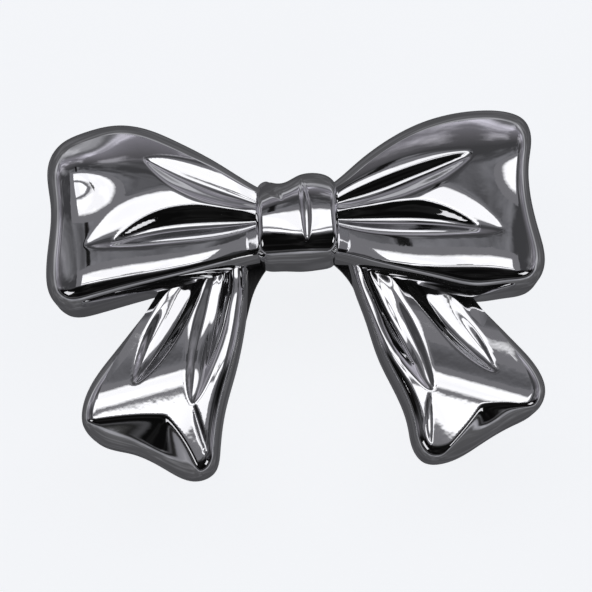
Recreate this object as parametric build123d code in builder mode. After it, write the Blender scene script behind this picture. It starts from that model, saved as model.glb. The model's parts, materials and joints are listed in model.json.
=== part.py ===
from build123d import *
import math
import os

# Stick-on gift bow, hard moulded and mirror plated, lying on its adhesive pads.
# Frame in millimetres: the origin is under the middle of the knot, on the surface the bow
# lies on. +X runs to the right-hand loop, +Y away from the tails, +Z out of the face.

os.makedirs("parts", exist_ok=True)

# Overall sizes
spread = 1.0             # stretch of loops and tails sideways; 1.0 makes the bow 100 wide
reach = 1.0              # stretch of loops and tails lengthways; 1.0 makes it 73 long
loop_height = 14.2       # puff of a loop above its own back
tail_height = 12.2       # puff of a tail above its own back
knot_height = 15.2       # puff of the knot above its skirt
knot_half_width = 8.1
drawn_half_width = 8.1   # knot half width that the outlines below are drawn for

# Mouldings
wall = 1.6               # walls, roofs and back plates
lip = 0.8                # rim left outside the rebate that takes a back plate
gap = 0.1                # play between a back plate and its rebate
neck_rim = 2 * wall      # height of a moulding where back and roof lie on each other
knot_rim = 5.0           # height of the knot's upright edge
loop_rim = 4.6           # height of a loop's upright edge
tail_rim = 3.0           # height of a tail's upright edge

# Pads, from the table up
liner_thickness = 0.2
foam_thickness = 2.0
knot_pad = (13.0, 12.0)          # size of the pad under the knot
knot_pad_middle = (0.0, -2.6)
tail_pad = (13.0, 22.0)          # size of the pad under each tail
tail_pad_middle = (26.0, -31.0)  # on the right, mirrored on the left
tail_pad_turn = 32.0             # degrees it leans outwards
tab_length = 4.0                 # pull tab of a release liner
tab_width = 7.0
pad_corner = 1.5

# Pegs that hold the stack together, and the straps they run through
peg_radius = 1.5
peg_hole_radius = peg_radius + gap
boss_radius = peg_radius + 1.2
nut_radius = peg_radius + 1.1
nut_thickness = 0.5
tail_tongue_radius = nut_radius + 1.3    # half width of a tail's strap at its peg
peg_offset = tail_tongue_radius + gap    # knot centre to a peg's axis
tail_tongue_heel = 5.0                   # how far below the peg its inner side runs
tail_tongue_corner = 1.2
tail_tongue_foot = [(12.0, -5.5), (12.5, -12.5), (7.6, -8.0)]    # where it leaves the tail
tongue_half_width = 5.0                  # half width of a loop's strap
neck_corner = 0.5                        # rounding where a moulding meets the knot

# Levels, each piece resting on the one before
foam_base = liner_thickness
tail_base = foam_base + foam_thickness
loop_base = tail_base + neck_rim
skirt_base = loop_base + gap
tongue_top = loop_base + neck_rim
peg_top = skirt_base + knot_height - 2 * wall

# How a moulding's top rises from one edge (0) to the other (1), as a share of its puff.
# A loop has its crest low down and two long dimples above it; a tail has a groove beside its
# inner edge and a dimple beside its outer one.
loop_profile = [
    (-0.03, 0.0), (0.05, 0.55), (0.14, 0.92), (0.24, 1.0), (0.41, 0.80),
    (0.56, 0.86), (0.70, 0.60), (0.84, 0.62), (0.95, 0.34), (1.03, 0.0),
]
tail_profile = [
    (-0.03, 0.0), (0.06, 0.62), (0.15, 0.86), (0.27, 0.70), (0.45, 1.0),
    (0.62, 0.90), (0.74, 0.72), (0.86, 0.82), (0.95, 0.50), (1.03, 0.0),
]
knot_profile = [
    (-0.04, 0.0), (0.07, 0.62), (0.20, 0.88), (0.34, 0.80), (0.50, 0.95),
    (0.70, 1.0), (0.88, 0.80), (1.04, 0.0),
]

# Plan outlines, corner by corner. A loop runs from the top of its neck round to the bottom.
left_loop_outline = [
    (-8.1, 7.6), (-15.5, 12.5), (-24.0, 17.5), (-35.7, 21.2), (-45.9, 19.0), (-50.2, 13.6),
    (-49.4, 4.0), (-50.7, -9.5), (-48.6, -16.0), (-42.5, -17.3), (-34.7, -15.6), (-22.0, -12.4),
    (-8.1, -9.0),
]
right_loop_outline = [
    (8.1, 7.9), (12.5, 11.6), (19.4, 16.5), (28.0, 20.4), (38.0, 21.9), (45.8, 20.0),
    (48.6, 14.5), (47.5, 4.0), (49.7, -8.6), (48.7, -13.6), (46.3, -16.3), (40.0, -17.2),
    (33.0, -17.0), (20.0, -12.8), (8.1, -9.0),
]
# A tail runs from its root down the inner edge, round the end and back up the outer edge.
left_tail_outline = [
    (-3.0, -6.0), (-8.1, -12.2), (-12.0, -26.5), (-14.7, -34.0), (-16.7, -42.0), (-17.6, -49.0),
    (-21.6, -51.6), (-30.0, -48.0), (-40.5, -44.1), (-43.9, -38.6), (-42.0, -31.7),
    (-37.9, -26.3), (-28.3, -14.4), (-12.0, -4.5),
]
right_tail_outline = [
    (3.0, -6.0), (9.0, -10.6), (13.3, -20.1), (16.2, -30.4), (19.5, -37.0), (21.8, -46.0),
    (25.6, -49.8), (33.0, -47.6), (44.0, -41.8), (48.3, -37.0), (46.8, -31.4), (39.6, -22.3),
    (30.0, -12.6), (12.0, -4.0),
]
# The knot's two rolled ends, between its straight sides.
knot_dip = 7.0           # where its top edge dips between the rolls
knot_foot = -9.6         # where its bottom edge starts to round
knot_hollow_corner = 1.5
knot_outline = [
    (-8.1, 7.8), (-5.8, 9.4), (-2.8, knot_dip), (0.2, 8.9), (4.6, 9.5), (8.1, 7.2),
    (8.1, -8.2), (4.6, knot_foot), (-0.6, -10.0), (-5.4, knot_foot), (-8.1, -7.8),
]

# Ribs across each moulding: its two ends in plan and its share of the puff.
left_loop_ribs = [
    ((-6.5, -9.2), (-6.5, 7.6), 0.50), ((-18.0, -11.5), (-18.0, 14.0), 0.82),
    ((-30.0, -14.4), (-30.0, 20.0), 1.0), ((-40.0, -17.0), (-40.0, 20.9), 1.0),
    ((-47.0, -17.2), (-47.0, 18.0), 0.88), ((-52.0, -14.0), (-52.0, 16.0), 0.55),
]
right_loop_ribs = [
    ((6.5, -9.2), (6.5, 7.6), 0.50), ((18.0, -12.2), (18.0, 15.6), 0.82),
    ((28.0, -15.6), (28.0, 20.4), 1.0), ((38.0, -17.4), (38.0, 21.9), 1.0),
    ((45.0, -16.6), (45.0, 20.6), 0.88), ((50.5, -13.0), (50.5, 16.0), 0.55),
]
left_tail_ribs = [
    ((-2.0, -3.5), (-13.0, -1.0), 0.0), ((-8.4, -12.2), (-29.6, -15.2), 0.0),
    ((-10.8, -22.0), (-35.0, -22.4), 0.72), ((-13.0, -30.0), (-40.8, -29.6), 1.0),
    ((-15.6, -38.5), (-43.9, -36.0), 1.0), ((-17.4, -47.5), (-43.4, -41.5), 0.80),
    ((-18.4, -53.0), (-42.0, -46.0), 0.35),
]
right_tail_ribs = [
    ((2.0, -3.0), (16.0, -3.0), 0.0), ((9.6, -12.6), (35.4, -18.0), 0.0),
    ((13.6, -21.6), (40.4, -23.6), 0.72), ((17.0, -30.5), (45.6, -29.4), 1.0),
    ((20.4, -40.0), (48.3, -35.0), 1.0), ((22.6, -47.5), (47.6, -40.0), 0.80),
    ((24.6, -52.4), (44.4, -44.8), 0.35),
]
knot_ribs = [
    ((-knot_half_width, -9.8), (knot_half_width, -9.8), 0.42),
    ((-knot_half_width, -7.2), (knot_half_width, -7.2), 0.86),
    ((-knot_half_width, 0.0), (knot_half_width, 0.0), 1.0),
    ((-knot_half_width, 6.8), (knot_half_width, 6.8), 0.88),
    ((-knot_half_width, 9.4), (knot_half_width, 9.4), 0.45),
]


def stretched(x, y):
    """Plan point of a bow of the set size; what is at the knot's side stays there."""
    return (math.copysign(knot_half_width + (abs(x) - drawn_half_width) * spread, x), y * reach)


def puff(ribs, profile, base, rim, height, drop=0.0):
    """Solid under a smooth top drawn over the ribs, lowered by drop for the hollow inside.

    Its underside is left below the base, for an outline's block to trim.
    """
    with BuildPart() as body:
        for rib_start, rib_end, share in ribs:
            start = Vector(*stretched(*rib_start))
            across = Vector(*stretched(*rib_end)) - start
            rib_plane = Plane(start + Vector(0, 0, base), x_dir=across, z_dir=across.cross(Vector(0, 0, 1)))
            rise = (height - rim) * share
            with BuildSketch(rib_plane):
                with BuildLine():
                    top = Spline(*[
                        (part * across.length, rim - drop + rise * level)
                        for part, level in profile
                    ])
                    Polyline(top @ 1, ((top @ 1).X, -wall), ((top @ 0).X, -wall), top @ 0)
                make_face()
        loft()
    return body.part


def corner_radii(corners):
    """Largest arc that the two runs beside each corner of a closed outline leave room for."""
    radii = []
    for before, corner, after in zip(corners[-1:] + corners, corners, corners[1:] + corners[:1]):
        arriving = Vector(*corner) - Vector(*before)
        leaving = Vector(*after) - Vector(*corner)
        half_turn = math.radians(arriving.get_angle(leaving) / 2)
        radii.append(0.48 * min(arriving.length, leaving.length) / math.tan(half_turn))
    radii[0] = radii[-1] = neck_corner
    return radii


def outline_prism(corners, base, height, shrink=0.0):
    """Upright block over a closed outline with rounded corners, drawn in by shrink."""
    with BuildPart() as prism:
        with BuildSketch(Plane.XY.offset(base)):
            with BuildLine():
                placed = [stretched(*corner) for corner in corners]
                FilletPolyline(*placed, radius=corner_radii(placed), close=True)
            make_face()
            if shrink > 0:
                offset(amount=-shrink, mode=Mode.REPLACE)
        extrude(amount=height)
    return prism.part


def loop_tongue(side, base, height, shrink=0.0):
    """Strap that carries a loop under the knot, from inside the loop to the middle."""
    inner = gap + shrink
    outer = knot_half_width + 2 * wall
    with BuildPart() as tongue:
        with BuildSketch(Plane.XY.offset(base)):
            with Locations((side * (inner + outer) / 2, 0)):
                Rectangle(outer - inner, 2 * (tongue_half_width - shrink))
        extrude(amount=height)
    return tongue.part


def tail_tongue(side, base, height, shrink=0.0):
    """Strap that carries a tail under the knot, round about its peg."""
    top = tail_tongue_radius - shrink
    (upper_x, upper_y), (foot_x, foot_y), (inner_x, inner_y) = (
        stretched(*corner) for corner in tail_tongue_foot
    )
    with BuildPart() as tongue:
        with BuildSketch(Plane.XY.offset(base)):
            with BuildLine():
                FilletPolyline(
                    (side * (peg_offset - top), top),
                    (side * (peg_offset + top), top),
                    (side * (upper_x - shrink), upper_y),
                    (side * (foot_x - shrink), foot_y),
                    (side * (inner_x + shrink), inner_y),
                    (side * (peg_offset - top), -tail_tongue_heel),
                    radius=tail_tongue_corner,
                    close=True,
                )
            make_face()
        extrude(amount=height)
    return tongue.part


def moulded_shell(label, side, outline, ribs, profile, base, rim, height, tongue):
    """Hollow front moulding of a loop or tail, open behind, with its strap and peg hole."""
    hollow_base = base + wall
    hollow = puff(ribs, profile, base, rim, height, drop=wall + gap)
    hollow_prism = outline_prism(outline, hollow_base, height, shrink=wall)
    with BuildPart() as shell:
        add(puff(ribs, profile, base, rim, height))
        add(outline_prism(outline, base, height), mode=Mode.INTERSECT)
        add(hollow.intersect(hollow_prism), mode=Mode.SUBTRACT)
        add(tongue(side, base, neck_rim))
        add(outline_prism(outline, base, wall, shrink=lip), mode=Mode.SUBTRACT)
        add(tongue(side, base, wall, shrink=lip), mode=Mode.SUBTRACT)
        with Locations((side * peg_offset, 0, base)):
            Hole(peg_hole_radius, depth=2 * neck_rim)
    shell.part.label = label
    return shell.part


def back_plate(label, side, outline, base, tongue, nut_seat=False):
    """Flat plate that closes a moulding from behind, with its own strap and peg hole."""
    with BuildPart() as plate:
        add(outline_prism(outline, base, wall, shrink=lip + gap))
        add(tongue(side, base, wall, shrink=lip + gap))
        with Locations((side * peg_offset, 0, base)):
            Hole(peg_hole_radius, depth=2 * wall)
        if nut_seat:
            with BuildSketch(Plane.XY.offset(base)):
                with Locations((side * peg_offset, 0)):
                    Circle(nut_radius + gap)
            extrude(amount=nut_thickness + gap, mode=Mode.SUBTRACT)
    plate.part.label = label
    return plate.part


# Knot: pleated hollow barrel that wraps the four straps and holds them on two pegs
knot_hollow = puff(knot_ribs, knot_profile, skirt_base, knot_rim, knot_height, drop=wall)
hollow_top = knot_dip * reach - wall
hollow_bottom = knot_foot * reach + wall
with BuildPart() as knot_hollow_block:
    with BuildSketch(Plane.XY.offset(skirt_base)):
        with Locations((0, (hollow_top + hollow_bottom) / 2)):
            RectangleRounded(2 * (knot_half_width - wall), hollow_top - hollow_bottom, knot_hollow_corner)
    extrude(amount=knot_height)
with BuildPart() as knot_shell:
    add(puff(knot_ribs, knot_profile, skirt_base, knot_rim, knot_height))
    add(outline_prism(knot_outline, skirt_base, knot_height), mode=Mode.INTERSECT)
    add(knot_hollow.intersect(knot_hollow_block.part), mode=Mode.SUBTRACT)
    with BuildSketch(Plane.XY.offset(skirt_base)):
        Rectangle(4 * knot_half_width, 2 * (tongue_half_width + gap))
    extrude(amount=tongue_top + gap - skirt_base, mode=Mode.SUBTRACT)
    with BuildSketch(Plane.XY.offset(tongue_top)):
        with Locations((-peg_offset, 0), (peg_offset, 0)):
            Circle(boss_radius)
    extrude(amount=peg_top - tongue_top)
    with BuildSketch(Plane.XY.offset(tail_base)):
        with Locations((-peg_offset, 0), (peg_offset, 0)):
            Circle(peg_radius)
    extrude(amount=peg_top - tail_base)
knot_shell.part.label = "knot_shell"
export_step(knot_shell.part, "parts/knot_shell.step")

# Loops and tails: a hollow front and a flat back each
for side, side_name, loop_outline, loop_ribs, tail_outline, tail_ribs in (
    (-1, "left", left_loop_outline, left_loop_ribs, left_tail_outline, left_tail_ribs),
    (1, "right", right_loop_outline, right_loop_ribs, right_tail_outline, right_tail_ribs),
):
    pieces = [
        moulded_shell(f"{side_name}_loop_shell", side, loop_outline, loop_ribs, loop_profile,
                      loop_base, loop_rim, loop_height, loop_tongue),
        back_plate(f"{side_name}_loop_back", side, loop_outline, loop_base, loop_tongue),
        moulded_shell(f"{side_name}_tail_shell", side, tail_outline, tail_ribs, tail_profile,
                      tail_base, tail_rim, tail_height, tail_tongue),
        back_plate(f"{side_name}_tail_back", side, tail_outline, tail_base, tail_tongue,
                   nut_seat=True),
    ]
    for piece in pieces:
        export_step(piece, f"parts/{piece.label}.step")

# Push nuts: spring discs pressed onto the peg ends, sunk into the tail backs
with BuildPart() as push_nuts:
    with BuildSketch(Plane.XY.offset(tail_base)):
        with Locations((-peg_offset, 0), (peg_offset, 0)):
            Circle(nut_radius)
            Circle(peg_radius, mode=Mode.SUBTRACT)
    extrude(amount=nut_thickness)
push_nuts.part.label = "push_nuts"
export_step(push_nuts.part, "parts/push_nuts.step")

# Adhesive pads of soft foam, each with its own peel-off liner
for pad_name, (pad_x, pad_y), (pad_width, pad_length), turn in (
    ("knot", knot_pad_middle, knot_pad, 180.0),
    ("left_tail", (-tail_pad_middle[0], tail_pad_middle[1]), tail_pad, -tail_pad_turn),
    ("right_tail", tail_pad_middle, tail_pad, tail_pad_turn),
):
    pad_plane = Plane((pad_x, pad_y, 0)).rotated((0, 0, turn))
    with BuildPart() as foam:
        with BuildSketch(pad_plane.offset(foam_base)):
            RectangleRounded(pad_width, pad_length, pad_corner)
        extrude(amount=foam_thickness)
    foam.part.label = f"{pad_name}_foam_pad"
    export_step(foam.part, f"parts/{foam.part.label}.step")
    with BuildPart() as liner:
        with BuildSketch(pad_plane):
            RectangleRounded(pad_width, pad_length, pad_corner)
            with Locations((0, -pad_length / 2)):
                RectangleRounded(tab_width, 2 * tab_length, pad_corner)
        extrude(amount=liner_thickness)
    liner.part.label = f"{pad_name}_liner"
    export_step(liner.part, f"parts/{liner.part.label}.step")
    hinge = pad_plane.from_local_coords((0, pad_length / 2, liner_thickness / 2))
    print(liner.part.label, "peels about", hinge)
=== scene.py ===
import json
import math

import bpy
import numpy as np
from mathutils import Matrix, Vector


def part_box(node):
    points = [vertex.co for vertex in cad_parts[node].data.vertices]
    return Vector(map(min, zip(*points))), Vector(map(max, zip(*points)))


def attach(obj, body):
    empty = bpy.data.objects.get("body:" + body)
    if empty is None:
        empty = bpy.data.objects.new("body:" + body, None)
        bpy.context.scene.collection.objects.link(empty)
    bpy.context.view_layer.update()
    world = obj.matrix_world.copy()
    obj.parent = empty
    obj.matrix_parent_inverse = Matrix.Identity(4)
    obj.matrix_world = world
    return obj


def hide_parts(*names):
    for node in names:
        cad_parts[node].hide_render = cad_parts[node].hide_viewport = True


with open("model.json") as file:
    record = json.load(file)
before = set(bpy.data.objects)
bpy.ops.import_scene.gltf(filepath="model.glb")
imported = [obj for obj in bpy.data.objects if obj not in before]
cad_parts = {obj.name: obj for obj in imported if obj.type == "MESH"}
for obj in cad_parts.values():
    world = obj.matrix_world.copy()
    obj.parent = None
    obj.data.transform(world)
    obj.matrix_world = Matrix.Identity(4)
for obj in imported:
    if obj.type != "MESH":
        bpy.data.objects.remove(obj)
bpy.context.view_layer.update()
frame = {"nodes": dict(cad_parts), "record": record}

MM = 0.001

# Levels read from the frame, in millimetres
LOOP_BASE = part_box("left_loop_shell")[0][2] / MM
TAIL_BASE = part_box("left_tail_shell")[0][2] / MM
PLATE = (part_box("left_loop_back")[1][2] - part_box("left_loop_back")[0][2]) / MM
KNOT_BASE = LOOP_BASE + 0.1

# Rim of a moulding, in millimetres
LIP = 0.8                # moulded edge left round each back plate
RIM_BREAK = 0.25         # rounding where the rim meets the lip
RIM_BREAK_MIDDLE = 0.07
LEAST_WALL = 1.0         # upright wall left under the rolled edge

# Faces of a moulding
ALONG = 110
ACROSS = 72
ROLL_RINGS = 12

# Tones of the studio
PAPER_WHITE = (0.86, 0.875, 0.90)
LAMP_WHITE = (1.0, 1.0, 1.02)
LAMP_EDGE = (0.12, 0.12, 0.125)
VELVET = (0.004, 0.004, 0.004)
OBJECT_PLACE = 3         # Texture Coordinate's Object output


# ---------------------------------------------------------------- shader maths

class Socket:
    """A shader output that can be added, multiplied and mixed like a number."""

    def __init__(self, tree, link):
        self.tree = tree
        self.link = link

    def node(self, kind, output=0, settings=None, **inputs):
        return make_node(self.tree, kind, output, settings, **inputs)

    def math(self, operation, a, b):
        return self.node("ShaderNodeMath", settings={"operation": operation}, **{"0": a, "1": b})

    def __add__(self, other):
        return self.math("ADD", self, other)

    def __radd__(self, other):
        return self.math("ADD", other, self)

    def __sub__(self, other):
        return self.math("SUBTRACT", self, other)

    def __rsub__(self, other):
        return self.math("SUBTRACT", other, self)

    def __mul__(self, other):
        return self.math("MULTIPLY", self, other)

    def __rmul__(self, other):
        return self.math("MULTIPLY", other, self)

    def smooth(self, low, high):
        """0 below low, 1 above high, eased between."""
        return self.node("ShaderNodeMapRange", settings={"interpolation_type": "SMOOTHSTEP"},
                         **{"Value": self, "From Min": low, "From Max": high})


def make_node(tree, kind, output=0, settings=None, **inputs):
    """One shader node: its settings first, then the values or links of its sockets.

    A socket's name may have _ for its spaces, or be its number. An output node returns nothing.
    """
    node = tree.nodes.new(kind)
    for name, value in (settings or {}).items():
        if name == "ramp":
            stops = node.color_ramp.elements
            while len(stops) < len(value):
                stops.new(0.5)
            for stop, (place, shade) in zip(stops, value):
                stop.position = place
                stop.color = (*shade, 1.0)
        else:
            setattr(node, name, value)
    for name, value in inputs.items():
        socket = node.inputs[int(name) if name.isdigit() else name.replace("_", " ")]
        if isinstance(value, Socket):
            tree.links.new(value.link, socket)
        else:
            socket.default_value = value
    if node.outputs:
        return Socket(tree, node.outputs[output])


def empty_tree(owner):
    """Clears the shader of a material or a world."""
    owner.use_nodes = True
    owner.node_tree.nodes.clear()
    return owner.node_tree


def new_finish(name):
    """An empty material; returns it and its tree."""
    material = bpy.data.materials.new(name)
    return material, empty_tree(material)


def surfaced(tree, **inputs):
    """Ends a tree in a Principled shader with these values and links."""
    shader = make_node(tree, "ShaderNodeBsdfPrincipled", **inputs)
    make_node(tree, "ShaderNodeOutputMaterial", Surface=shader)


def noise(tree, scale, detail=2.0):
    """Fractal noise fixed to the object, scale in waves per metre."""
    place = make_node(tree, "ShaderNodeTexCoord", OBJECT_PLACE)
    return make_node(tree, "ShaderNodeTexNoise", Vector=place, Scale=scale, Detail=detail)


def drawn_out_noise(tree, waves, detail):
    """Noise with its own waves per metre along x, y and z."""
    place = make_node(tree, "ShaderNodeTexCoord", OBJECT_PLACE)
    stretched = make_node(tree, "ShaderNodeMapping", Vector=place, Scale=waves)
    return make_node(tree, "ShaderNodeTexNoise", Vector=stretched, Scale=1.0, Detail=detail)


def tint(tree, amount, dark, light):
    """Colour between two tones, each three numbers or a link."""
    dark, light = (tone if isinstance(tone, Socket) else (*tone, 1.0) for tone in (dark, light))
    return make_node(tree, "ShaderNodeMix", 2, {"data_type": "RGBA"},
                     **{"0": amount, "6": dark, "7": light})


def bumped(tree, height, distance):
    """Surface relief, distance in metres."""
    return make_node(tree, "ShaderNodeBump", Height=height, Distance=distance)


def mirror_plating():
    """Vacuum-plated plastic: a clean mirror with a faint orange peel and handling haze."""
    material, tree = new_finish("mirror_plating")
    haze = noise(tree, 90.0, 4.0)
    peel = noise(tree, 420.0)
    surfaced(tree, Metallic=1.0,
             Base_Color=tint(tree, haze, (0.83, 0.83, 0.85), (0.93, 0.93, 0.94)),
             Roughness=haze * 0.05 + 0.015,
             Normal=bumped(tree, peel, 0.00001))
    return material


def moulded_back():
    """Satin moulded plastic with a fine spark-eroded grain."""
    material, tree = new_finish("moulded_back")
    grain = noise(tree, 3200.0)
    cloud = noise(tree, 60.0, 3.0)
    surfaced(tree, IOR=1.5,
             Base_Color=tint(tree, cloud, (0.036, 0.036, 0.038), (0.055, 0.055, 0.058)),
             Roughness=grain * 0.15 + 0.38,
             Normal=bumped(tree, grain, 0.00004))
    return material


def spring_steel():
    """Bright rolled strip with fine rolling lines."""
    material, tree = new_finish("spring_steel")
    lines = drawn_out_noise(tree, (60.0, 2400.0, 60.0), 2.0)
    surfaced(tree, Metallic=1.0,
             Base_Color=tint(tree, lines, (0.45, 0.45, 0.46), (0.62, 0.62, 0.63)),
             Roughness=lines * 0.2 + 0.22)
    return material


def pad_foam():
    """White closed-cell foam: fine bubbles cut open at the surface, each bubble pit with painted shade
    at its bottom.
    """
    material, tree = new_finish("pad_foam")
    place = make_node(tree, "ShaderNodeTexCoord", OBJECT_PLACE)
    cells = make_node(tree, "ShaderNodeTexVoronoi", settings={"feature": "F1"},
                      Vector=place, Scale=3400.0)
    # painted shade: the base colour darkens at the bottom of each bubble pit, where the bump from the
    # same cells sinks lowest
    surfaced(tree,
             Base_Color=tint(tree, cells.smooth(0.1, 0.6), (0.62, 0.62, 0.60), (0.86, 0.86, 0.84)),
             Roughness=cells * 0.2 + 0.75,
             Normal=bumped(tree, cells, 0.00015))
    return material


def release_paper():
    """Waxed kraft liner: warm fibre flecks under a slight sheen."""
    material, tree = new_finish("release_paper")
    fibre = drawn_out_noise(tree, (500.0, 1800.0, 500.0), 4.0)
    surfaced(tree,
             Base_Color=tint(tree, fibre.smooth(0.35, 0.7), (0.66, 0.55, 0.38), (0.82, 0.74, 0.58)),
             Roughness=fibre * 0.2 + 0.32,
             Normal=bumped(tree, fibre, 0.00003))
    return material


# ---------------------------------------------------------------- curves and shapes, in mm

def smooth_curve(knots):
    """Natural cubic spline through (place, value) knots, straight beyond its ends."""
    place, value = (np.array(column, float) for column in zip(*sorted(knots)))
    step = np.diff(place)
    rise = np.diff(value) / step
    count = len(place)
    matrix = np.eye(count)
    right = np.zeros(count)
    for i in range(1, count - 1):
        matrix[i, i - 1:i + 2] = step[i - 1], 2 * (step[i - 1] + step[i]), step[i]
        right[i] = 6 * (rise[i] - rise[i - 1])
    bend = np.linalg.solve(matrix, right)
    slope = rise - step * (2 * bend[:-1] + bend[1:]) / 6
    last_slope = rise[-1] + step[-1] * (bend[-2] + 2 * bend[-1]) / 6

    def value_at(where):
        where = np.asarray(where, float)
        i = np.clip(np.searchsorted(place, where) - 1, 0, count - 2)
        d = where - place[i]
        inside = value[i] + slope[i] * d + bend[i] * d ** 2 / 2
        inside = inside + (bend[i + 1] - bend[i]) * d ** 3 / (6 * step[i])
        before = value[0] + slope[0] * (where - place[0])
        after = value[-1] + last_slope * (where - place[-1])
        return np.where(where < place[0], before, np.where(where > place[-1], after, inside))
    return value_at


def rounded_ridge(distance, softness):
    """Distance made positive, with a rounded bottom: 0 and level at 0."""
    return np.sqrt(distance ** 2 + softness ** 2) - softness


def swell(x, y, middle, spread):
    """Round hump, 1 at its middle."""
    return np.exp(-((x - middle[0]) / spread[0]) ** 2 - ((y - middle[1]) / spread[1]) ** 2)


def dimple(x, y, line, above, below, fade=0.8, flat=2.0):
    """Almond hollow, 1 along its floor: line is the floor's points, above and below its widths."""
    points = np.array(line, float)
    along_x = points[-1] - points[0]
    length = np.hypot(*along_x)
    ahead = along_x / length
    beside = np.array([-ahead[1], ahead[0]])
    if beside[1] < 0:
        beside = -beside
    s = (x - points[0][0]) * ahead[0] + (y - points[0][1]) * ahead[1]
    t = (x - points[0][0]) * beside[0] + (y - points[0][1]) * beside[1]
    floor = smooth_curve([(np.dot(p - points[0], ahead), np.dot(p - points[0], beside))
                          for p in points])
    part = np.clip(s / length, 0, 1)
    taper = np.clip(4 * part * (1 - part), 0, 1) ** fade
    offset = t - floor(s)
    width = np.where(offset > 0, above, below) * np.maximum(taper, 1e-6)
    across = np.clip(1 - np.abs(offset / width) ** flat, 0, 1) ** 2
    return across * taper


def hollowed(top, floor, share):
    """Top brought down to a floor of its own where share is 1."""
    return top * (1 - share) + floor * share


# ---------------------------------------------------------------- plan outlines

class Outline:
    """Closed plan outline drawn lower side, outer end, upper side, then straight neck."""

    def __init__(self, lower, outer, upper):
        self.points = np.array(lower + outer + upper, float)
        self.corners = (len(lower), len(lower) + len(outer) - 1)

    def sides(self):
        """Evenly spaced points of the lower side, outer end and upper side, with a step to the left."""
        chord = np.hypot(*np.diff(self.points, axis=0).T)
        place = np.concatenate([[0], np.cumsum(chord)])
        curve_x = smooth_curve(zip(place, self.points[:, 0]))
        curve_y = smooth_curve(zip(place, self.points[:, 1]))
        stops = [0, place[self.corners[0]], place[self.corners[1]], place[-1]]
        runs = []
        nudge = 0.05
        for start, end, count in zip(stops, stops[1:], (ALONG, ACROSS, ALONG)):
            t = np.linspace(start, end, count + 1)
            xy = np.stack([curve_x(t), curve_y(t)], 1)
            tangent = np.stack([curve_x(t + nudge) - curve_x(t - nudge),
                                curve_y(t + nudge) - curve_y(t - nudge)], 1)
            left = np.stack([-tangent[:, 1], tangent[:, 0]], 1)
            runs.append((xy, left / np.hypot(*left.T)[:, None]))
        return runs


def ring_and_patch(outline, roll):
    """Closed ring round the outline, its inward steps, and the even patch that it surrounds.

    The patch starts roll inside the ring, and its rows run from the neck outwards.
    """
    lower, outer, upper = outline.sides()
    turn = np.sign(np.cross(lower[0][1] - lower[0][0], upper[0][0] - lower[0][0]))
    if turn < 0:
        lower, outer, upper = [(xy, -left) for xy, left in (lower, outer, upper)]
    start, end = lower[0][0], upper[0][-1]
    neck = start + (end - start) * np.linspace(0, 1, ACROSS + 1)[:, None]
    into = np.array([math.copysign(1.0, lower[0][-1][0] - start[0]), 0.0])
    neck_in = np.tile(into, (ACROSS + 1, 1))

    # The steps are mitred at the neck's two corners
    ring = np.concatenate([lower[0][:-1], outer[0][:-1], upper[0][:-1], neck[::-1][:-1]])
    steps = np.concatenate([lower[1][:-1], outer[1][:-1], upper[1][:-1], neck_in[::-1][:-1]])
    for corner, side_in in ((0, lower[1][0]), (2 * ALONG + ACROSS, upper[1][-1])):
        steps[corner] = (side_in + into) / (1 + np.dot(side_in, into))

    inner = ring + steps * roll
    low = inner[:ALONG + 1]
    out = inner[ALONG:ALONG + ACROSS + 1]
    up = inner[ALONG + ACROSS:2 * ALONG + ACROSS + 1][::-1]
    neck_inner = np.concatenate([inner[2 * ALONG + ACROSS:], inner[:1]])[::-1]
    u = np.linspace(0, 1, ALONG + 1)[None, :, None]
    v = np.linspace(0, 1, ACROSS + 1)[:, None, None]
    patch = (1 - v) * low[None] + v * up[None] + (1 - u) * neck_inner[:, None] + u * out[:, None]
    patch -= ((1 - u) * (1 - v) * low[0] + u * (1 - v) * low[-1]
              + (1 - u) * v * up[0] + u * v * up[-1])
    return ring, steps, patch.reshape(-1, 2)


def edge_levels(ring, steps, top, roll, roll_drop):
    """Plan points and heights of each ring: over the rolled edge, down the wall and round the lip."""
    levels = []
    for k in range(1, ROLL_RINGS + 1):
        angle = math.pi / 2 * k / ROLL_RINGS
        xy = ring + steps * roll * (1 - math.sin(angle))
        levels.append((xy, top(xy) - roll_drop * (1 - math.cos(angle))))
    wall_top = top(ring) - roll_drop
    for down in (0.5, 0.88):
        levels.append((ring, wall_top * (1 - down) + RIM_BREAK * down))
    for inside, height in ((RIM_BREAK_MIDDLE, RIM_BREAK_MIDDLE), (RIM_BREAK, 0.0), (LIP, 0.0),
                           (LIP, PLATE)):
        levels.append((ring + steps * inside, np.full(len(ring), height)))
    return levels


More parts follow.
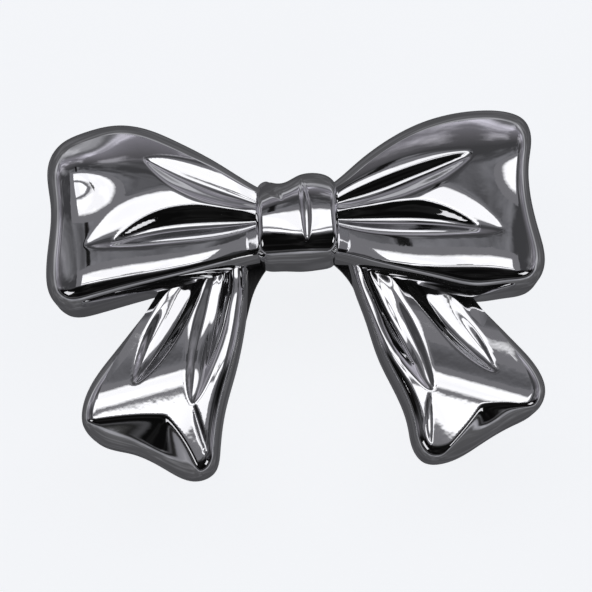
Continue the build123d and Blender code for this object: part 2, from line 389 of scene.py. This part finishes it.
def puffed_shell(name, outline, height, base, roll, roll_drop):
    """Hollow-backed moulding: a smooth top over the outline, rolled over at its edge.

    height gives the top above the base at a plan point; roll is how far in the edge starts to
    roll over, and roll_drop how far it comes down before it is upright.
    """
    def top(xy):
        return np.maximum(height(xy[..., 0], xy[..., 1]), roll_drop + LEAST_WALL)

    ring, steps, plan = ring_and_patch(outline, roll)
    bpy.ops.object.select_all(action="DESELECT")
    bpy.ops.mesh.primitive_grid_add(x_subdivisions=ALONG, y_subdivisions=ACROSS, size=2)
    shell = bpy.context.object
    shell.name = name
    mesh = shell.data
    place = np.column_stack([plan, base + top(plan)])
    mesh.vertices.foreach_set("co", (place * MM).ravel())

    # Each border point remembers its place round the outline, so that every extruded ring finds it
    grid = np.arange(len(place)).reshape(ACROSS + 1, ALONG + 1)
    border = np.concatenate([grid[0, :-1], grid[:-1, -1], grid[-1, :0:-1], grid[:0:-1, 0]])
    order = np.full(len(place), -1.0)
    order[border] = np.arange(len(border))
    mark = mesh.attributes.new("round", "FLOAT", "POINT")
    mark.data.foreach_set("value", order)

    bpy.ops.object.mode_set(mode="EDIT")
    bpy.ops.mesh.select_mode(type="EDGE")
    bpy.ops.mesh.select_all(action="DESELECT")
    bpy.ops.mesh.select_non_manifold()
    for xy, z in edge_levels(ring, steps, top, roll, roll_drop):
        bpy.ops.mesh.extrude_edges_move()
        bpy.ops.object.mode_set(mode="OBJECT")
        chosen = np.zeros(len(mesh.vertices), bool)
        mesh.vertices.foreach_get("select", chosen)
        where = np.zeros(len(mesh.vertices))
        mesh.attributes["round"].data.foreach_get("value", where)
        co = np.zeros(len(mesh.vertices) * 3)
        mesh.vertices.foreach_get("co", co)
        co = co.reshape(-1, 3)
        index = where[chosen].round().astype(int)
        co[chosen] = np.column_stack([xy[index], base + z[index]]) * MM
        mesh.vertices.foreach_set("co", co.ravel())
        bpy.ops.object.mode_set(mode="EDIT")
    bpy.ops.mesh.edge_face_add()
    bpy.ops.mesh.select_all(action="SELECT")
    bpy.ops.mesh.normals_make_consistent(inside=False)
    bpy.ops.object.mode_set(mode="OBJECT")
    mesh.attributes.remove(mesh.attributes["round"])
    bpy.ops.object.shade_smooth_by_angle(angle=math.radians(50))
    return shell


# ---------------------------------------------------------------- the loops

def loop_height(side, crest_line, crest, top_edge, foot, upper_line):
    """Top of a loop: a crest low down, a long slope above it and a round wall below it.

    Each list gives values at distances out from the bow's middle: where the crest runs and how
    high it is, how high the upper edge is and where that runs. foot is the wall's steepness.
    """
    slope_rounding, wall_rounding = 2.2, 2.6
    shoulder_start, shoulder_curve = 0.62, 0.018
    crest_y = smooth_curve(crest_line)
    crest_z = smooth_curve(crest)
    edge_z = smooth_curve(top_edge)
    upper_y = smooth_curve(upper_line)

    def body(x, y):
        out = side * x
        above = y - crest_y(out)
        reach = upper_y(out) - crest_y(out)
        fall = (crest_z(out) - edge_z(out)) / reach
        slope = fall * rounded_ridge(np.maximum(above, 0), slope_rounding)
        shoulder = np.maximum(above - shoulder_start * reach, 0)
        wall = foot * rounded_ridge(np.minimum(above, 0), wall_rounding)
        return crest_z(out) - slope - wall - shoulder_curve * shoulder ** 2
    return body


left_loop_outline = Outline(
    [(-4.0, -7.6), (-8.1, -8.6), (-15.5, -10.8), (-22.0, -12.5), (-34.7, -15.6), (-41.0, -17.2)],
    [(-46.6, -17.4), (-49.4, -14.6), (-50.3, -10.0), (-49.3, 4.0), (-49.6, 13.5), (-47.4, 17.4)],
    [(-43.0, 19.8), (-35.7, 21.4), (-30.0, 20.4), (-24.0, 17.6), (-15.5, 12.6), (-8.1, 7.6),
     (-4.0, 5.4)],
)
right_loop_outline = Outline(
    [(4.0, -7.6), (8.1, -8.8), (14.0, -11.0), (20.0, -13.0), (28.0, -15.6), (35.2, -17.4)],
    [(41.6, -16.9), (46.6, -15.7), (48.9, -12.4), (48.4, -4.5), (47.1, 3.5), (47.2, 9.5),
     (48.1, 15.5), (47.0, 19.3)],
    [(43.6, 21.3), (38.5, 21.9), (32.0, 21.3), (26.0, 19.7), (19.4, 16.5), (12.5, 11.6),
     (8.1, 8.0), (4.0, 5.6)],
)

left_body = loop_height(
    -1,
    crest_line=[(4, -4.8), (8, -5.8), (23, -9.8), (36, -12.0), (47, -13.8), (52, -14.4)],
    crest=[(4, 8.0), (8, 9.0), (16, 11.6), (26, 14.0), (36, 15.0), (43, 14.8), (51, 11.8)],
    top_edge=[(4, 6.4), (8, 6.6), (20, 7.2), (36, 7.8), (52, 7.2)],
    foot=0.72,
    upper_line=[(4, 5.4), (8, 7.6), (16, 12.8), (24, 17.6), (36, 21.4), (52, 19.5)],
)
right_body = loop_height(
    1,
    crest_line=[(4, -6.2), (8, -7.0), (16, -9.4), (26, -11.6), (38, -12.4), (46, -13.6), (52, -14.4)],
    crest=[(4, 8.0), (8, 9.0), (16, 11.6), (26, 14.0), (36, 15.0), (43, 14.6), (51, 11.8)],
    top_edge=[(4, 6.4), (8, 6.6), (20, 7.2), (36, 7.8), (52, 7.2)],
    foot=0.72,
    upper_line=[(4, 5.6), (8, 8.0), (16, 14.2), (26, 19.7), (38, 21.9), (52, 20.0)],
)


def left_loop_top(x, y):
    """A long lower hollow in a wider dish, an upper crease, and a swelling at the outer corner."""
    top = left_body(x, y)
    top -= 1.0 * dimple(x, y, [(-6.0, -0.4), (-18.0, -1.0), (-28.0, -2.0), (-42.0, -5.4)], 9.0, 4.4)
    top -= 2.0 * dimple(x, y, [(-6.0, -0.6), (-18.0, -1.4), (-27.0, -2.4), (-37.0, -5.2)], 4.8, 3.4)
    upper = [(-6.0, 2.4), (-16.0, 6.0), (-22.0, 8.4), (-30.0, 12.6)]
    top -= 1.25 * dimple(x, y, upper, 5.2, 3.8)
    top -= 0.25 * dimple(x, y, upper, 1.6, 2.2)
    top += 2.4 * swell(x, y, (-44.0, 11.0), (8.0, 6.5))
    return top


def right_loop_top(x, y):
    """A long lower hollow in a wider dish, an upper crease, and a swelling at the outer corner."""
    top = right_body(x, y)
    top -= 1.0 * dimple(x, y, [(6.0, -0.6), (18.0, -1.4), (28.0, -2.2), (41.0, -5.2)], 8.6, 4.2)
    top -= 2.0 * dimple(x, y, [(6.0, -0.6), (18.0, -1.6), (26.0, -2.4), (36.5, -4.6)], 4.6, 3.2)
    upper = [(6.0, 2.0), (18.0, 5.0), (26.0, 7.6), (36.0, 11.4)]
    top -= 0.8 * dimple(x, y, upper, 5.2, 4.6)
    top -= 1.0 * dimple(x, y, upper, 2.8, 3.0)
    top += 2.0 * swell(x, y, (46.4, 13.6), (6.0, 8.4))
    return top


# ---------------------------------------------------------------- the tails

left_tail_outline = Outline(
    [(-10.0, -8.0), (-10.2, -14.0), (-11.2, -21.0), (-13.2, -29.5), (-15.6, -37.5)],
    [(-16.9, -45.5), (-18.2, -50.0), (-21.6, -51.6), (-28.0, -49.1), (-35.0, -45.6),
     (-40.6, -43.9), (-43.6, -40.6)],
    [(-43.7, -36.6), (-41.6, -31.4), (-37.6, -26.0), (-32.0, -19.0), (-27.0, -12.9), (-22.5, -8.0)],
)
right_tail_outline = Outline(
    [(9.8, -8.0), (11.2, -13.6), (13.3, -20.1), (15.6, -28.0), (18.6, -34.8)],
    [(21.0, -42.0), (21.9, -46.7), (24.0, -49.4), (28.2, -49.7), (35.4, -46.3),
     (42.1, -42.7), (46.6, -40.2)],
    [(48.3, -36.6), (46.9, -31.5), (43.0, -26.4), (37.6, -20.2), (32.0, -14.2), (26.2, -8.0)],
)


def tail_height(clear, inside):
    """Tail's top before its grooves.

    clear is the distance out from under the loop, inside the distance from the inner edge,
    along which a flatter band runs.
    """
    slope = smooth_curve([(-5.0, 2.4), (-3.4, 6.0), (-2, 8.2), (1, 9.4), (5, 10.2), (10, 11.1),
                          (15, 12.2), (18.5, 12.9), (22, 13.1), (45, 13.1)])
    band = smooth_curve([(-5.0, 2.6), (-3.4, 6.4), (-2, 9.2), (1, 10.6), (5, 11.2), (10, 11.8),
                         (15, 12.5), (19, 12.9), (25, 13.0), (45, 13.0)])
    band_width = 5.0
    share = 1 / (1 + np.exp(inside - band_width))
    return slope(clear) * (1 - share) + band(clear) * share


def end_face(below, beside, slope):
    """Drop of a tail's end: hipped, falling away from its two ridge lines."""
    rounding, hip_sharpness, nothing = 1.0, 1.5, 1e-4
    below = rounded_ridge(np.maximum(below, 0), rounding) + nothing
    beside = rounded_ridge(np.maximum(beside, 0), rounding) + nothing
    return slope * (below ** -hip_sharpness + beside ** -hip_sharpness) ** (-1 / hip_sharpness)


def outer_hollow(top, x, y, line):
    """Top with its outer hollow, which has a floor of its own sloping down to the tail's end."""
    return hollowed(top, 9.0 - (y + 15.0) * 0.07, dimple(x, y, line, 3.6, 3.6, 0.7, 3.0))


def left_tail_top(x, y):
    """Rises from under the loop to a hipped end, with an outer hollow and two inner creases."""
    inner_x = smooth_curve([(-50, -17.6), (-37.5, -15.6), (-29.5, -13.2), (-21, -11.2), (-8, -10.0)])
    top = tail_height(-(8.6 + (-x - 8.1) * 0.26) - y, inner_x(y) - x)
    ridge_y = smooth_curve([(-46, -39.6), (-42, -39.4), (-32, -38.8), (-22, -39.4), (-10, -40.0)])
    ridge_x = smooth_curve([(-52, -19.6), (-47, -21.6), (-42, -24.6), (-38, -27.6), (-30, -31.0)])
    top -= end_face(ridge_y(x) - y, ridge_x(y) - x, 1.15)
    top = outer_hollow(top, x, y, [(-17.6, -6.0), (-23.6, -15.5), (-28.2, -23.5), (-33.2, -32.6)])
    inner = [(-13.8, -5.0), (-17.0, -17.0), (-19.4, -26.0), (-21.8, -37.0)]
    top -= 1.5 * dimple(x, y, inner, 4.0, 4.0, 0.6)
    top -= 0.45 * dimple(x, y, [(-13.4, -4.0), (-15.8, -16.0), (-17.4, -24.0), (-18.8, -30.0)], 1.4, 1.4)
    top -= 0.3 * dimple(x, y, [(-21.8, -36.0), (-20.9, -40.0), (-18.6, -48.5)], 0.9, 0.9)
    return top


def right_tail_top(x, y):
    """Rises from under the loop to a hipped end, with an outer hollow and two inner creases."""
    inner_x = smooth_curve([(-48, 22.0), (-34.8, 18.6), (-28, 15.6), (-20.1, 13.3), (-8, 9.8)])
    top = tail_height(-(8.8 + (x - 8.1) * 0.33) - y, x - inner_x(y))
    ridge_y = smooth_curve([(12, -42.0), (25, -41.0), (33, -39.4), (40, -38.8), (47, -39.6),
                            (52, -40.0)])
    ridge_x = smooth_curve([(-50, 26.0), (-47, 28.4), (-43, 32.0), (-39, 35.0), (-28, 40.0)])
    top -= end_face(ridge_y(x) - y, x - ridge_x(y), 1.15)
    top = outer_hollow(top, x, y, [(18.6, -6.0), (26.0, -15.5), (31.2, -23.0), (38.4, -32.6)])
    inner = [(12.2, -5.0), (17.4, -18.0), (21.4, -26.5), (25.6, -36.0)]
    top -= 1.5 * dimple(x, y, inner, 4.0, 4.0, 0.6)
    top -= 0.45 * dimple(x, y, [(11.6, -4.0), (16.4, -17.0), (20.0, -25.0), (22.6, -31.0)], 1.4, 1.4)
    top -= 0.3 * dimple(x, y, [(25.2, -35.5), (24.8, -40.0), (24.8, -47.5)], 0.9, 0.9)
    return top


# ---------------------------------------------------------------- the knot

knot_outline = Outline(
    [(-8.1, -7.6), (-7.0, -9.2), (-3.4, -9.8), (1.0, -10.0), (4.8, -9.7)],
    [(7.2, -9.0), (8.2, -7.2), (8.25, 0.0), (8.1, 6.2)],
    [(6.8, 8.2), (3.8, 9.2), (0.6, 8.6), (-2.4, 7.2), (-4.0, 7.5), (-5.7, 8.7), (-7.2, 8.2),
     (-8.1, 6.6)],
)


def knot_top(x, y):
    """Round band over the bow's middle: two lobes with a notch between them, and a crease."""
    away = y + 2.0
    away = away + 0.035 * (x - 3.0) ** 2 * np.clip(away / 8, 0, 1)
    steep = np.where(away > 0, 2.8e-4, 9.0e-4)
    top = 15.0 - away ** 2 / 50 - steep * away ** 4 - 0.012 * (x - 1.0) ** 2
    top -= 1.3 * swell(x, y, (-2.5, 10.0), (2.0, 4.2))
    top -= 0.45 * dimple(x, y, [(-6.4, 9.0), (-4.6, 5.4), (-2.6, 2.4)], 1.5, 1.5)
    top -= 0.55 * dimple(x, y, [(1.2, 7.4), (1.9, 1.0), (2.0, -7.0)], 1.3, 1.3)
    top += 0.45 * swell(x, y, (1.6, -7.0), (4.6, 4.2))
    least_height = 3.5
    return np.maximum(top, least_height)


# ---------------------------------------------------------------- building and finishing

plating = mirror_plating()

for name, outline, height, base, roll, roll_drop in (
    ("left_loop", left_loop_outline, left_loop_top, LOOP_BASE, 3.2, 3.6),
    ("right_loop", right_loop_outline, right_loop_top, LOOP_BASE, 3.2, 3.6),
    ("knot", knot_outline, knot_top, KNOT_BASE, 1.5, 2.0),
    ("left_tail", left_tail_outline, left_tail_top, TAIL_BASE, 3.0, 3.4),
    ("right_tail", right_tail_outline, right_tail_top, TAIL_BASE, 3.0, 3.4),
):
    shell = puffed_shell(name, outline, height, base, roll, roll_drop)
    shell.data.materials.append(plating)
    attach(shell, "bow")
    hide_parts(f"{name}_shell")


def select_upright_edges(mesh):
    """Leaves edit mode on, with only the edges that run up the sides selected."""
    bpy.ops.mesh.select_all(action="DESELECT")
    bpy.ops.object.mode_set(mode="OBJECT")
    for edge in mesh.edges:
        a, b = (mesh.vertices[i].co for i in edge.vertices)
        edge.select = abs(a.z - b.z) > 1e-5
    bpy.ops.object.mode_set(mode="EDIT")


def foam_pad(name, size, middle, turn):
    """Die-cut pad of closed-cell foam: rounded corners, its cut sides pulled in a little."""
    node = name.replace("_pad", "_foam_pad")
    corner_radius, pulled_in = 1.5, 0.30
    base, top = (corner[2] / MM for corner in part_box(node))
    bpy.ops.object.select_all(action="DESELECT")
    bpy.ops.mesh.primitive_cube_add(size=1)
    pad = bpy.context.object
    pad.name = name
    pad.scale = (size[0] * MM, size[1] * MM, (top - base) * MM)
    pad.rotation_euler = (0, 0, math.radians(turn))
    pad.location = (middle[0] * MM, middle[1] * MM, (base + top) / 2 * MM)
    bpy.ops.object.transform_apply()
    mesh = pad.data

    bpy.ops.object.mode_set(mode="EDIT")
    bpy.ops.mesh.select_mode(type="EDGE")
    select_upright_edges(mesh)
    bpy.ops.mesh.bevel(offset=corner_radius * MM, segments=8)
    select_upright_edges(mesh)
    bpy.ops.mesh.subdivide(number_cuts=5)
    bpy.ops.object.mode_set(mode="OBJECT")
    centre = Vector((middle[0] * MM, middle[1] * MM))
    for vertex in mesh.vertices:
        part = (vertex.co.z / MM - base) / (top - base)
        if 0.01 < part < 0.99:
            waist = pulled_in * MM * math.sin(math.pi * part) ** 0.7
            outward = vertex.co.xy - centre
            vertex.co.xy = centre + outward * (1 - waist / outward.length)
    bpy.ops.object.shade_smooth_by_angle(angle=math.radians(40))
    pad.data.materials.append(foam_finish)
    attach(pad, "bow")
    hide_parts(node)


foam_finish = pad_foam()
foam_pad("knot_pad", (13.0, 12.0), (0.0, -2.6), 180)
foam_pad("left_tail_pad", (13.0, 22.0), (-26.0, -31.0), -32)
foam_pad("right_tail_pad", (13.0, 22.0), (26.0, -31.0), 32)

finishes = {"moulded_back": moulded_back(), "spring_steel": spring_steel(),
            "release_paper": release_paper(), "mirror_plating": plating, "foam": foam_finish}
for entry in frame["record"]["subparts"]:
    node = frame["nodes"][entry["node"]]
    node.data.materials.clear()
    node.data.materials.append(finishes[entry["material_slot"]])


# ---------------------------------------------------------------- studio

def stage_panel(name, middle, facing, size, material, glossy_only=True):
    """Flat rectangle of the studio, turned to face along a direction."""
    bpy.ops.object.select_all(action="DESELECT")
    bpy.ops.mesh.primitive_plane_add(size=1)
    panel = bpy.context.object
    panel.name = name
    turn = Vector(facing).to_track_quat("Z", "Y").to_matrix().to_4x4()
    panel.data.transform(Matrix.Translation(middle) @ turn @ Matrix.Diagonal((*size, 1, 1)))
    panel.data.materials.append(material)
    panel.visible_camera = not glossy_only
    return panel


def glow(name, strength, colour=LAMP_WHITE, across=None):
    """Lit cloth; across gives its middle and half width in y, towards which the light dies away."""
    material, tree = new_finish(name)
    shade = (*colour, 1.0)
    if across:
        middle, reach = across
        place = make_node(tree, "ShaderNodeTexCoord", OBJECT_PLACE)
        y = make_node(tree, "ShaderNodeSeparateXYZ", 1, Vector=place) - middle
        folds = noise(tree, 7.0).smooth(0.36, 0.60) * 0.22
        edge = (y * y).smooth((0.72 * reach) ** 2, reach ** 2) * 0.62
        shade = tint(tree, folds + edge, colour, LAMP_EDGE)
    light = make_node(tree, "ShaderNodeEmission", Color=shade, Strength=strength)
    make_node(tree, "ShaderNodeOutputMaterial", Surface=light)
    return material


def pale_floor():
    """Pale card lit mostly by itself, low enough for the peeled liners to clear it."""
    material, tree = new_finish("pale_card")
    card = make_node(tree, "ShaderNodeBsdfDiffuse", Color=(0.38, 0.385, 0.395, 1.0))
    self_lit = make_node(tree, "ShaderNodeEmission", Color=(*PAPER_WHITE, 1.0), Strength=0.955)
    both = make_node(tree, "ShaderNodeAddShader", **{"0": card, "1": self_lit})
    make_node(tree, "ShaderNodeOutputMaterial", Surface=both)
    floor = stage_panel("floor", (0, 0, -0.032), (0, 0, 1), (30, 30), material, glossy_only=False)
    floor.visible_glossy = False


def lamps():
    """Two softboxes overhead, dim cloth behind them, a card low on each side and a dark block."""
    lamp_strength = 1.34
    stage_panel("softbox", (0, 0.138, 0.52), (0, -0.138, -0.52), (0.56, 0.17),
                glow("softbox_cloth", lamp_strength, across=(0.138, 0.083)))
    stage_panel("strip_light", (0, 0.016, 0.54), (0, -0.016, -0.54), (0.56, 0.045),
                glow("strip_cloth", lamp_strength, across=(0.016, 0.0225)))
    stage_panel("diffuser", (0, 0.13, 0.58), (0, -0.13, -0.58), (0.82, 0.34),
                glow("diffuser_cloth", 0.18, colour=(1.0, 0.99, 1.06)))
    for side in (-1, 1):
        stage_panel("fill_card", (side * 0.33, -0.24, 0.29), (-side * 0.33, 0.24, -0.29),
                    (0.18, 0.13), glow("fill_cloth", 0.85))
    stage_panel("light_meter", (0.004, 0.062, 0.44), (0, -0.062, -0.44), (0.040, 0.014),
                glow("dark_cloth", 0.12))


def room():
    """The dim room that the plating mirrors: tones by height, darker towards the tails."""
    world = bpy.data.worlds.new("studio")
    bpy.context.scene.world = world
    tree = empty_tree(world)
    direction = make_node(tree, "ShaderNodeTexCoord")
    x, y, z = (make_node(tree, "ShaderNodeSeparateXYZ", axis, Vector=direction) for axis in range(3))
    far_side = [(0.0, (0.075, 0.075, 0.08)), (0.46, (0.13, 0.13, 0.135)), (0.50, (0.42, 0.42, 0.44)),
                (0.55, (0.36, 0.36, 0.38)), (0.58, (0.16, 0.16, 0.17)), (0.64, (0.32, 0.31, 0.35)),
                (0.74, (0.17, 0.165, 0.18)), (0.82, (0.08, 0.08, 0.085)),
                (0.94, (0.072, 0.072, 0.078)), (1.0, (0.12, 0.12, 0.125))]
    near_side = [(0.0, (0.075, 0.075, 0.08)), (0.46, (0.12, 0.12, 0.125)), (0.50, (0.32, 0.32, 0.34)),
                 (0.54, (0.26, 0.26, 0.28)), (0.565, (0.04, 0.04, 0.04)), (0.59, (0.02, 0.02, 0.02)),
                 (0.62, (0.09, 0.09, 0.095)), (0.655, (0.005, 0.005, 0.005)),
                 (1.0, (0.005, 0.005, 0.005))]
    height = z * 0.5 + 0.5
    far_tone = make_node(tree, "ShaderNodeValToRGB", settings={"ramp": far_side}, Fac=height)
    near_tone = make_node(tree, "ShaderNodeValToRGB", settings={"ramp": near_side}, Fac=height)

    # A black upright slot on the far side, high up
    beside_slot = ((x + 0.30) * (x + 0.30) * 900.0).smooth(0.2, 2.0)
    open_wall = 1 - (1 - beside_slot) * z.smooth(0.62, 0.70)
    walls = tint(tree, y.smooth(-0.16, 0.06), near_tone, tint(tree, open_wall, VELVET, far_tone))

    # Uneven light and dark, most of it high up
    flattened = make_node(tree, "ShaderNodeMapping", Vector=direction, Scale=(1.0, 1.0, 1.8))
    clutter = make_node(tree, "ShaderNodeTexNoise", Vector=flattened, Scale=3.2, Detail=3.0)
    clutter = 0.9 + (clutter.smooth(0.44, 0.74) * 2.1 - 0.24) * (z.smooth(0.05, 0.4) * 0.7 + 0.3)
    walls = make_node(tree, "ShaderNodeVectorMath", settings={"operation": "SCALE"},
                      **{"0": walls, "Scale": clutter})

    seen_directly = make_node(tree, "ShaderNodeLightPath")
    background = make_node(tree, "ShaderNodeBackground",
                           Color=tint(tree, seen_directly, walls, PAPER_WHITE))
    make_node(tree, "ShaderNodeOutputWorld", Surface=background)


def camera():
    """Looks down on the face, tipped a little towards the tails and turned by a hair."""
    elevation = math.radians(81.5)
    tilt = math.radians(-2.0)
    distance = 0.42
    field = 0.119        # width of the view at the bow, in metres
    aim = Vector((-0.0006, -0.0155, 0.010))
    out = Vector((0, -math.cos(elevation), math.sin(elevation)))
    data = bpy.data.cameras.new("camera")
    data.sensor_width = 36.0
    data.lens = data.sensor_width * distance / field
    data.clip_start = 0.01
    body = bpy.data.objects.new("camera", data)
    bpy.context.scene.collection.objects.link(body)
    turn = out.to_track_quat("Z", "Y") @ Matrix.Rotation(tilt, 3, "Z").to_quaternion()
    body.matrix_world = Matrix.Translation(aim + out * distance) @ turn.to_matrix().to_4x4()
    bpy.context.scene.camera = body


pale_floor()
lamps()
room()
camera()
bpy.context.scene.view_settings.view_transform = "Standard"
